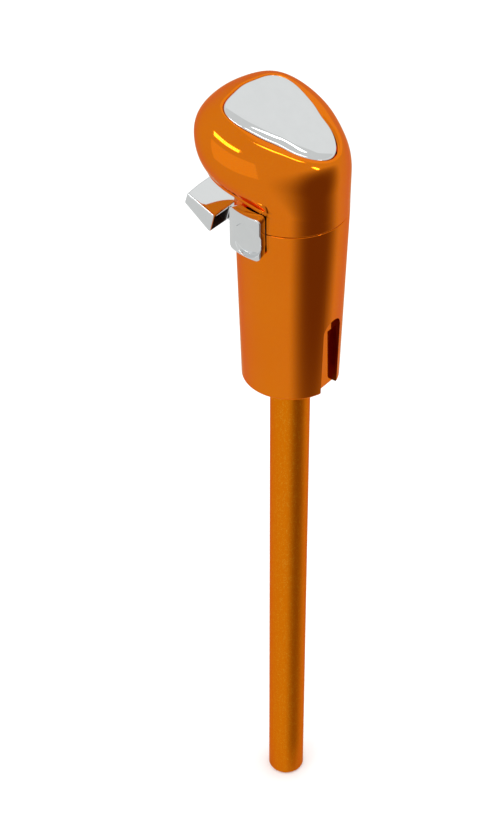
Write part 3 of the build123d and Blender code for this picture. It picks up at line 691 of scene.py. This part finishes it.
def make_range_lever():
    """Wide paddle on a stem, with its hub and the forked tail that drives the spool."""
    px, pz = LEVER_PIVOT
    lever = swept_side("range_lever_casting", paddle_corners, LEVER_HALF, 0.85, crown=0.5)
    stem = swept_side("stem", lambda y: STEM_SIDE, STEM_HALF, 0.7, 6)
    combine(lever, stem, "UNION")
    for side in (-1, 1):
        pocket = swept_side("pocket", lambda y: PADDLE_POCKET, POCKET_HALF, 0.5, 4)
        pocket.data.transform(Matrix.Translation((0, side * POCKET_Y * MM, 0)))
        combine(lever, pocket, "DIFFERENCE")
    hub = lathe("hub", [(PIN_BORE_R, -STEM_HALF), (HUB_R, -STEM_HALF),
                        (HUB_R, STEM_HALF), (PIN_BORE_R, STEM_HALF)], 64)
    lay(hub, px, 0, pz)
    core = lathe("hub_core", [(0, -HUB_SEAT_HALF), (HUB_SEAT_R, -HUB_SEAT_HALF),
                              (HUB_SEAT_R, HUB_SEAT_HALF), (0, HUB_SEAT_HALF)], 48)
    lay(core, px, 0, pz)
    combine(lever, core, "DIFFERENCE")
    join(lever, hub, *tail_ears())
    tidy(lever, 30)
    return lever


def lay(obj, x, y, z):
    """Turns an upright solid to lie along Y and moves it, in millimetres."""
    obj.data.transform(Matrix.Translation((x * MM, y * MM, z * MM)) @ Matrix.Rotation(pi / 2, 4, "X"))


def tail_ears():
    """The two prongs of the lever's tail, each with the round tip that the spool's groove takes."""
    px, pz = LEVER_PIVOT
    lean = radians(TAIL_LEAN)
    tip_x, tip_z = px - TAIL_ARM * cos(lean), pz - TAIL_ARM * sin(lean)
    off_x, off_z = EAR_THICK / 2 * sin(lean), EAR_THICK / 2 * cos(lean)
    start_x, start_z = px - TAIL_ROOT * cos(lean), pz - TAIL_ROOT * sin(lean)
    arm = [(start_x - off_x, start_z + off_z), (tip_x - off_x, tip_z + off_z)]
    arm += [(tip_x + off_x, tip_z - off_z), (start_x + off_x, start_z - off_z)]
    half, chamfer = TAIL_TIP_HALF, TAIL_TIP_CHAMFER
    side_of_tip = [(0, -half), (TAIL_TIP_R - chamfer, -half), (TAIL_TIP_R, chamfer - half)]
    side_of_tip += [(TAIL_TIP_R, half - chamfer), (TAIL_TIP_R - chamfer, half), (0, half)]
    ears = []
    for side in (-1, 1):
        ear = swept_side("ear", lambda y: arm, EAR_HALF, 0.2, 2)
        ear.data.transform(Matrix.Translation((0, side * EAR_Y * MM, 0)))
        tip = lathe("tail_tip", side_of_tip, 40)
        lay(tip, tip_x, side * EAR_Y, tip_z)
        ears += [ear, tip]
    return ears


def make_splitter_button():
    """Thumb piece curved round the neck: rolled edges and a scoop that is ruled upright."""
    inner, outer = BUTTON_R
    mid_a = radians(sum(BUTTON_AZ) / 2)
    half_s = radians(BUTTON_AZ[1] - BUTTON_AZ[0]) / 2 * outer
    half_h = (BUTTON_Z[1] - BUTTON_Z[0]) / 2
    mid_z = sum(BUTTON_Z) / 2
    corner, roll = 2.4, 0.75
    wide, tall = 132, 144

    def spread(k, steps):
        """Grid lines from -1 to 1, closer together at both ends."""
        even = 2 * k / steps - 1
        return 0.82 * even + 0.18 * sin(pi / 2 * even) * (2 - even * even)

    def surface(s, h):
        """Radius at arc length s from the middle and height h from the middle."""
        over_s, over_h = abs(s) - (half_s - corner), abs(h) - (half_h - corner)
        if over_s > 0 and over_h > 0:
            inside = corner - hypot(over_s, over_h)
        else:
            inside = corner - max(over_s, over_h)
        drop = 0.0
        if inside < roll:
            drop = roll - sqrt(max(roll ** 2 - (roll - max(inside, 0.0)) ** 2, 0.0))
        azimuth = mid_a + s / outer
        return outer - drop - scoop_depth(degrees(azimuth), mid_z + h) * min(1.0, inside / roll + 0.35)

    front, back = [], []
    for row in range(tall + 1):
        h = half_h * spread(row, tall)
        over = abs(h) - (half_h - corner)
        reach = half_s - corner + sqrt(max(corner ** 2 - max(over, 0.0) ** 2, 0.0))
        for col in range(wide + 1):
            s = reach * spread(col, wide)
            a = mid_a + s / outer
            r = surface(s, h)
            front.append((r * cos(a), r * sin(a), mid_z + h))
            back.append((inner * cos(a), inner * sin(a), mid_z + h))
    points = front + back
    shift = len(front)
    faces = []
    width = wide + 1
    for row in range(tall):
        for col in range(wide):
            a = row * width + col
            quad = (a, a + 1, a + width + 1, a + width)
            faces += [quad, tuple(shift + v for v in reversed(quad))]
    rim = list(range(width)) + [row * width + wide for row in range(1, tall + 1)]
    rim += [tall * width + col for col in range(wide - 1, -1, -1)]
    rim += [row * width for row in range(tall - 1, 0, -1)]
    for k, v in enumerate(rim):
        w = rim[(k + 1) % len(rim)]
        faces.append((w, v, shift + v, shift + w))
    return new_object("splitter_button_cap", points, faces, 40)


def scoop_depth(azimuth, z):
    """How far the scoop goes in: an upright round channel inside a round outline."""
    outer = BUTTON_R[1]
    reach = outer - SCOOP_DEPTH + SCOOP_R
    theta = radians(azimuth - SCOOP_AZ)
    under = SCOOP_R ** 2 - (reach * sin(theta)) ** 2
    if under <= 0:
        return 0.0
    depth = max(0.0, outer - (reach * cos(theta) - sqrt(under)))
    away = hypot(radians(azimuth - SCOOP_EDGE_AZ) * outer, z - SCOOP_EDGE_Z)
    inside = (SCOOP_EDGE_R - away) / 0.7
    share = min(max(inside, 0.0), 1.0)
    return depth * share * share * (3 - 2 * share)


# ---------------------------------------------------------------- materials
class Nodes:
    """Short way to build one material's node tree."""

    def __init__(self, name):
        self.material = bpy.data.materials.new(name)
        self.material.use_nodes = True
        self.tree = self.material.node_tree
        self.shader = self.tree.nodes["Principled BSDF"]

    def set(self, **values):
        for key, value in values.items():
            socket = self.shader.inputs[key.replace("_", " ")]
            if key == "Base_Color" or key.endswith("Tint"):
                value = (*value, 1.0)
            socket.default_value = value

    def add(self, kind, links=None, **values):
        node = self.tree.nodes.new(kind)
        for key, value in values.items():
            if hasattr(node, key):
                setattr(node, key, value)
            else:
                node.inputs[key.replace("_", " ")].default_value = value
        for key, source in (links or {}).items():
            self.link(source, node.inputs[key])
        return node

    def link(self, source, target):
        self.tree.links.new(source, target)

    def place(self):
        """Coordinates in metres in the part's own frame."""
        return self.add("ShaderNodeTexCoord").outputs["Object"]

    def noise(self, scale, detail=2.0, roughness=0.5, stretch=None):
        spot = self.place()
        if stretch:
            spot = self.add("ShaderNodeVectorMath", {0: spot}, operation="MULTIPLY").outputs[0]
            self.tree.nodes[-1].inputs[1].default_value = stretch
        node = self.add("ShaderNodeTexNoise", {"Vector": spot}, Scale=scale, Detail=detail,
                        Roughness=roughness)
        return node.outputs["Fac"]

    def ramp(self, source, *stops):
        """Colour or value ramp; each stop is (place, colour) with a grey or an RGB colour."""
        node = self.add("ShaderNodeValToRGB", {"Fac": source})
        band = node.color_ramp
        while len(band.elements) < len(stops):
            band.elements.new(0.5)
        for element, (spot, colour) in zip(band.elements, stops):
            element.position = spot
            if not isinstance(colour, tuple):
                colour = (colour, colour, colour)
            element.color = (*colour, 1.0)
        return node.outputs["Color"]

    def mix(self, share, first, second):
        node = self.add("ShaderNodeMix", data_type="RGBA")
        for socket, value in ((node.inputs[0], share), (node.inputs[6], first), (node.inputs[7], second)):
            if isinstance(value, (int, float)):
                socket.default_value = value
            elif isinstance(value, tuple):
                socket.default_value = (*value, 1.0)
            else:
                self.link(value, socket)
        return node.outputs[2]

    def worn_edges(self, sharpness=0.53):
        """White along outer edges, from the mesh's own shape."""
        pointed = self.add("ShaderNodeNewGeometry").outputs["Pointiness"]
        return self.ramp(pointed, (0.5, 0.0), (sharpness, 1.0))

    def bump(self, height, distance, strength=1.0):
        node = self.add("ShaderNodeBump", {"Height": height}, Strength=strength, Distance=distance)
        self.link(node.outputs["Normal"], self.shader.inputs["Normal"])


def candy_paint():
    """Metallic orange under a clear coat: fine flake and a slow unevenness of the colour coat."""
    m = Nodes("candy_orange")
    m.set(Metallic=1.0, Coat_Weight=0.16, Coat_Roughness=0.02, Coat_IOR=1.5)
    m.set(Specular_Tint=(0.97, 0.45, 0.08))
    flake = m.add("ShaderNodeTexVoronoi", {"Vector": m.place()}, Scale=5200.0).outputs["Color"]
    flake = m.add("ShaderNodeSeparateColor", {"Color": flake}).outputs["Red"]
    deep = m.mix(m.noise(28.0, 2.0), (0.92, 0.195, 0.001), (0.97, 0.235, 0.002))
    spark = m.ramp(flake, (0.8, 0.0), (1.0, 0.3))
    m.link(m.mix(spark, deep, (0.95, 0.38, 0.01)), m.shader.inputs["Base Color"])
    m.link(m.ramp(m.noise(900.0, 3.0), (0.2, 0.05), (0.8, 0.09)), m.shader.inputs["Roughness"])
    peel = m.add("ShaderNodeBump", {"Height": m.noise(420.0, 1.0)}, Strength=0.05, Distance=0.0002)
    m.link(peel.outputs["Normal"], m.shader.inputs["Coat Normal"])
    return m.material


def satin_paint():
    """Fine metallic orange, satin, with sparkling flake and a faint drawn grain up the bar."""
    m = Nodes("satin_orange")
    m.set(Metallic=1.0, Coat_Weight=0.035, Coat_Roughness=0.18, Coat_IOR=1.5)
    m.set(Specular_Tint=(0.97, 0.45, 0.08))
    flake = m.add("ShaderNodeTexVoronoi", {"Vector": m.place()}, Scale=3000.0).outputs["Color"]
    flake = m.add("ShaderNodeSeparateColor", {"Color": flake}).outputs["Red"]
    grain = m.noise(60.0, 4.0, 0.6, (30.0, 30.0, 0.6))
    base = m.mix(grain, (0.86, 0.20, 0.0), (0.95, 0.26, 0.0))
    spark = m.ramp(flake, (0.86, 0.0), (0.97, 1.0))
    m.link(m.mix(spark, base, (0.98, 0.42, 0.03)), m.shader.inputs["Base Color"])
    m.link(m.ramp(flake, (0.0, 0.3), (1.0, 0.42)), m.shader.inputs["Roughness"])
    m.bump(flake, 0.00002, 0.35)
    return m.material


def chrome():
    """Bright plating with faint polishing lines and slightly softer patches."""
    m = Nodes("chrome_plate")
    m.set(Metallic=1.0)
    haze = m.noise(140.0, 4.0, 0.6)
    m.link(m.mix(haze, (0.78, 0.80, 0.82), (0.84, 0.86, 0.88)), m.shader.inputs["Base Color"])
    m.link(m.ramp(haze, (0.3, 0.025), (0.75, 0.05)), m.shader.inputs["Roughness"])
    lines = m.noise(300.0, 3.0, 0.5, (1.0, 8.0, 1.0))
    m.bump(lines, 0.000004, 0.3)
    return m.material


def channel_painted_shade():
    """Darker copy of the orange paint: painted shade in the air line channel and on the cover's inner side."""
    m = Nodes("channel_painted_shade")
    m.set(Metallic=1.0, Specular_Tint=(0.6, 0.2, 0.02))
    shade_mottle = m.noise(260.0, 4.0)
    m.link(m.mix(shade_mottle, (0.12, 0.022, 0.001), (0.19, 0.040, 0.002)), m.shader.inputs["Base Color"])
    m.link(m.ramp(shade_mottle, (0.3, 0.30), (0.7, 0.45)), m.shader.inputs["Roughness"])
    return m.material


def dull_casting_painted_shade():
    """Unplated casting skin, uneven and dull, darkened to near black: partly the casting's own dull skin, partly
    painted shade in the pockets.
    """
    m = Nodes("dull_casting_painted_shade")
    m.set(Metallic=0.3)
    grain = m.noise(600.0, 4.0)
    m.link(m.mix(grain, (0.010, 0.008, 0.008), (0.035, 0.026, 0.022)), m.shader.inputs["Base Color"])
    m.link(m.ramp(grain, (0.3, 0.45), (0.7, 0.62)), m.shader.inputs["Roughness"])
    m.bump(grain, 0.00002, 0.4)
    return m.material


def zinc_steel():
    """Zinc plate: cool grey, a little mottled, brighter where edges rub."""
    m = Nodes("zinc_plate")
    m.set(Metallic=1.0)
    spangle = m.noise(900.0, 3.0, 0.6)
    base = m.mix(spangle, (0.46, 0.47, 0.49), (0.64, 0.65, 0.66))
    m.link(m.mix(m.worn_edges(), base, (0.74, 0.74, 0.75)), m.shader.inputs["Base Color"])
    m.link(m.ramp(spangle, (0.3, 0.24), (0.7, 0.4)), m.shader.inputs["Roughness"])
    m.bump(spangle, 0.00002, 0.4)
    return m.material


def machined_aluminium():
    """Milled aluminium under a clear anodised coat, with fine tool lines."""
    m = Nodes("machined_aluminium")
    m.set(Metallic=1.0)
    lines = m.noise(120.0, 3.0, 0.6, (1.0, 1.0, 40.0))
    base = m.mix(lines, (0.62, 0.635, 0.65), (0.76, 0.77, 0.78))
    m.link(m.mix(m.worn_edges(), base, (0.85, 0.85, 0.86)), m.shader.inputs["Base Color"])
    m.link(m.ramp(lines, (0.3, 0.26), (0.7, 0.38)), m.shader.inputs["Roughness"])
    m.bump(lines, 0.00002, 0.5)
    return m.material


def brass():
    """Turned brass, slightly tarnished in places."""
    m = Nodes("turned_brass")
    m.set(Metallic=1.0)
    tarnish = m.noise(240.0, 4.0, 0.6)
    base = m.mix(tarnish, (0.50, 0.33, 0.12), (0.80, 0.58, 0.26))
    m.link(m.mix(m.worn_edges(), base, (0.9, 0.7, 0.36)), m.shader.inputs["Base Color"])
    m.link(m.ramp(tarnish, (0.3, 0.22), (0.7, 0.4)), m.shader.inputs["Roughness"])
    m.bump(m.noise(180.0, 2.0, 0.5, (1.0, 1.0, 30.0)), 0.00001, 0.4)
    return m.material


def rubber():
    """Black nitrile rubber with a dusty bloom."""
    m = Nodes("nitrile_rubber")
    dust = m.noise(700.0, 4.0, 0.6)
    m.link(m.mix(dust, (0.012, 0.012, 0.013), (0.035, 0.034, 0.033)), m.shader.inputs["Base Color"])
    m.link(m.ramp(dust, (0.3, 0.55), (0.7, 0.75)), m.shader.inputs["Roughness"])
    m.bump(dust, 0.00003, 0.4)
    return m.material


def foam():
    """Dark closed-cell foam."""
    m = Nodes("closed_cell_foam")
    cells = m.add("ShaderNodeTexVoronoi", {"Vector": m.place()}, Scale=2600.0).outputs["Distance"]
    m.link(m.mix(cells, (0.02, 0.02, 0.021), (0.09, 0.09, 0.092)), m.shader.inputs["Base Color"])
    m.link(m.ramp(cells, (0.0, 0.9), (1.0, 0.75)), m.shader.inputs["Roughness"])
    m.bump(cells, 0.0001, 0.8)
    return m.material


def floor_finish():
    """Plain white sweep, very slightly uneven."""
    m = Nodes("floor_white")
    cloud = m.noise(3.0, 2.0)
    m.link(m.mix(cloud, (0.93, 0.93, 0.93), (0.95, 0.95, 0.95)), m.shader.inputs["Base Color"])
    m.link(m.ramp(cloud, (0.3, 0.8), (0.7, 0.9)), m.shader.inputs["Roughness"])
    return m.material


def dress(obj, material, slot_name=None):
    """One finish all over, with the record slot that it belongs to."""
    obj.data.materials.clear()
    obj.data.materials.append(material)
    if slot_name:
        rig.slot(obj, slot_name)


# ---------------------------------------------------------------- the object
FINISHES = {
    "candy_paint": candy_paint(), "candy_paint_satin": satin_paint(), "plated": chrome(),
    "zinc_steel": zinc_steel(), "machined_aluminium": machined_aluminium(), "brass_fitting": brass(),
    "seal_rubber": rubber(), "foam_pad": foam(),
}


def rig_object(node):
    """The CAD mesh of a node."""
    return next(o for o in bpy.context.scene.objects if o.get("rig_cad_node") == node)


def dress_cad_nodes():
    """Every CAD node keeps its shape and takes the finish of its record slot."""
    for row in frame["record"]["subparts"]:
        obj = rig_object(row["node"])
        for i in range(len(obj.data.materials)):
            obj.material_slots[i].link = "OBJECT"
            obj.material_slots[i].material = FINISHES[row["material_slot"]]


def place_piece(obj, body, node, slot_name):
    """Puts a piece in the place of its CAD node, on that node's body."""
    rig.ride(obj, body)
    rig.replaces(obj, node)
    dress(obj, FINISHES[slot_name], slot_name)


def in_pocket(centre, normal):
    """Whether a face of the lever lies inside one of the paddle's two pockets."""
    (x0, z0), (x1, z1), (x2, z2), (x3, z3) = PADDLE_POCKET
    x, y, z = (c / MM for c in centre)
    low = z2 + (x - x2) * (z3 - z2) / (x3 - x2)
    high = z1 + (x - x1) * (z0 - z1) / (x0 - x1)
    across = abs(abs(y) - POCKET_Y) < POCKET_HALF + POCKET_SLACK
    deep = POCKET_MOUTH_X < x < x2 + POCKET_SLACK
    return across and deep and low - POCKET_SLACK / 2 < z < high + POCKET_SLACK / 2


def in_channel(centre, normal):
    """Whether a face of the cover lies in the air line channel or on the cover's inner side, the faces that take the
    painted shade.
    """
    x, y, z = (c / MM for c in centre)
    reach = hypot(x, y)
    outward = (normal.x * x + normal.y * y) / reach
    under_skin = reach < cover_radius(z) - CHANNEL_SHADE_DEPTH
    side_wall = abs(y) < SLOT_HALF + 0.3 and x < SLOT_FLOOR_X + 1.0 and normal.x > -0.4
    return under_skin and (outward < -0.3 or side_wall)


def shade_faces(name, inside, material):
    """Gives a second finish to the faces that a test picks: painted shade in the cover's channel and on its inner
    side, and a dull casting finish with painted shade in the lever's pockets.
    """
    mesh = bpy.data.objects[name].data
    mesh.materials.append(material)
    for face in mesh.polygons:
        if inside(face.center, face.normal):
            face.material_index = 1


dress_cad_nodes()
place_piece(make_upper_housing(), "knob", "upper_housing", "candy_paint")
place_piece(make_lower_cover(), "knob", "lower_cover", "candy_paint")
place_piece(make_shaft(), "knob", "shaft_extension", "candy_paint_satin")
place_piece(make_top_insert(), "knob", "top_insert", "plated")
place_piece(make_range_lever(), "range_lever", "range_lever", "plated")
# The paddle's pockets take a near-black dull casting finish: partly the casting's own skin, partly painted shade.
shade_faces("range_lever_casting", in_pocket, dull_casting_painted_shade())
# The channel and the cover's inner side take a darker copy of the orange paint: painted shade.
shade_faces("lower_cover_shell", in_channel, channel_painted_shade())
place_piece(make_splitter_button(), "splitter", "splitter_button", "plated")


# ---------------------------------------------------------------- floor, lights, camera
def plane(name, centre, half):
    """Flat square that belongs to the stage."""
    mesh = bpy.data.meshes.new(name)
    corners = [(-half, -half, 0), (half, -half, 0), (half, half, 0), (-half, half, 0)]
    mesh.from_pydata(corners, [], [(0, 1, 2, 3)])
    obj = bpy.data.objects.new(name, mesh)
    bpy.context.scene.collection.objects.link(obj)
    obj.location = centre
    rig.stage(obj)
    return obj


def area_light(name, place, target, size, power):
    """White rectangular lamp at a place, turned to a target."""
    data = bpy.data.lights.new(name, "AREA")
    data.shape = "RECTANGLE"
    data.size, data.size_y = size
    data.energy = power
    light = bpy.data.objects.new(name, data)
    light.location = place
    light.rotation_mode = "QUATERNION"
    light.rotation_quaternion = (Vector(target) - Vector(place)).to_track_quat("-Z", "Y")
    bpy.context.scene.collection.objects.link(light)
    return light


def make_camera():
    """The photograph's viewpoint, rolled a little about its line of sight."""
    data = bpy.data.cameras.new("camera")
    data.lens = CAMERA_LENS
    data.sensor_width = 36.0
    data.clip_start, data.clip_end = 0.01, 50.0
    camera = bpy.data.objects.new("camera", data)
    bpy.context.scene.collection.objects.link(camera)
    forward = CAMERA_FORWARD.normalized()
    right = forward.cross(CAMERA_UP).normalized()
    up = right.cross(forward)
    turn = Quaternion(forward, radians(CAMERA_ROLL))
    right, up = turn @ right, turn @ up
    camera.rotation_mode = "QUATERNION"
    camera.rotation_quaternion = Matrix((right, up, -forward)).transposed().to_quaternion()
    camera.location = CAMERA_PLACE
    bpy.context.scene.camera = camera
    return camera


def heading(azimuth, elevation):
    """Direction from the object: degrees to the picture's right from the camera's side, and degrees up."""
    turn = atan2(CAMERA_PLACE.y, CAMERA_PLACE.x) + radians(azimuth)
    rise = radians(elevation)
    return Vector((cos(turn) * cos(rise), sin(turn) * cos(rise), sin(rise)))


def studio_world():
    """Plain white light; in the gloss, a pale grey room with one soft darker side."""
    world = bpy.data.worlds.new("studio")
    world.use_nodes = True
    tree = world.node_tree
    tree.nodes.clear()
    spot = tree.nodes.new("ShaderNodeTexCoord")
    facing = tree.nodes.new("ShaderNodeVectorMath")
    facing.operation = "DOT_PRODUCT"
    facing.inputs[1].default_value = heading(*DARK_SIDE)
    tree.links.new(spot.outputs["Generated"], facing.inputs[0])
    shade = tree.nodes.new("ShaderNodeMapRange")
    shade.interpolation_type = "SMOOTHSTEP"
    shade.inputs["From Min"].default_value = DARK_STARTS
    shade.inputs["From Max"].default_value = DARK_FULL
    tree.links.new(facing.outputs["Value"], shade.inputs["Value"])
    tint = tree.nodes.new("ShaderNodeMix")
    tint.data_type = "RGBA"
    tree.links.new(shade.outputs["Result"], tint.inputs[0])
    tint.inputs[6].default_value = (*ROOM_PALE, 1.0)
    tint.inputs[7].default_value = (*ROOM_DARK, 1.0)
    room = tree.nodes.new("ShaderNodeBackground")
    tree.links.new(tint.outputs[2], room.inputs["Color"])
    white = tree.nodes.new("ShaderNodeBackground")
    white.inputs["Color"].default_value = (1.0, 1.0, 1.0, 1.0)
    path = tree.nodes.new("ShaderNodeLightPath")
    both = tree.nodes.new("ShaderNodeMixShader")
    tree.links.new(path.outputs["Is Glossy Ray"], both.inputs[0])
    tree.links.new(white.outputs[0], both.inputs[1])
    tree.links.new(room.outputs[0], both.inputs[2])
    out = tree.nodes.new("ShaderNodeOutputWorld")
    tree.links.new(both.outputs[0], out.inputs["Surface"])
    return world


def softbox(name, azimuth, elevation, size, roll, radiance):
    """White lamp with an even face, turned to the head; its brightness doesn't depend on its size."""
    place = LAMP_TARGET + heading(azimuth, elevation) * LAMP_DISTANCE
    light = area_light(name, place, LAMP_TARGET, size, radiance * pi * size[0] * size[1])
    light.rotation_quaternion = light.rotation_quaternion @ Quaternion((0, 0, 1), radians(roll))
    return light


def make_stage():
    """White floor that the gloss doesn't see, a soft light overhead, and the room with its lamps."""
    floor = plane("floor", (0, 0, -0.0005), 6)
    dress(floor, floor_finish())
    floor.visible_glossy = False
    overhead = area_light("top_softbox", (0.0, 0.1, 2.2), (0, 0, 0.3), (2.4, 2.4), 12)
    overhead.visible_glossy = False
    for name, values in SOFTBOXES.items():
        softbox(name, *values)
    bpy.context.scene.world = studio_world()


make_camera()
make_stage()
bpy.context.scene.view_settings.view_transform = "Standard"

with open("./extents.json", "w") as sizes:
    json.dump({"cad": [list(c) for c in CAD_BOX], "visual": [list(c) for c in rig.bounds()]}, sizes)
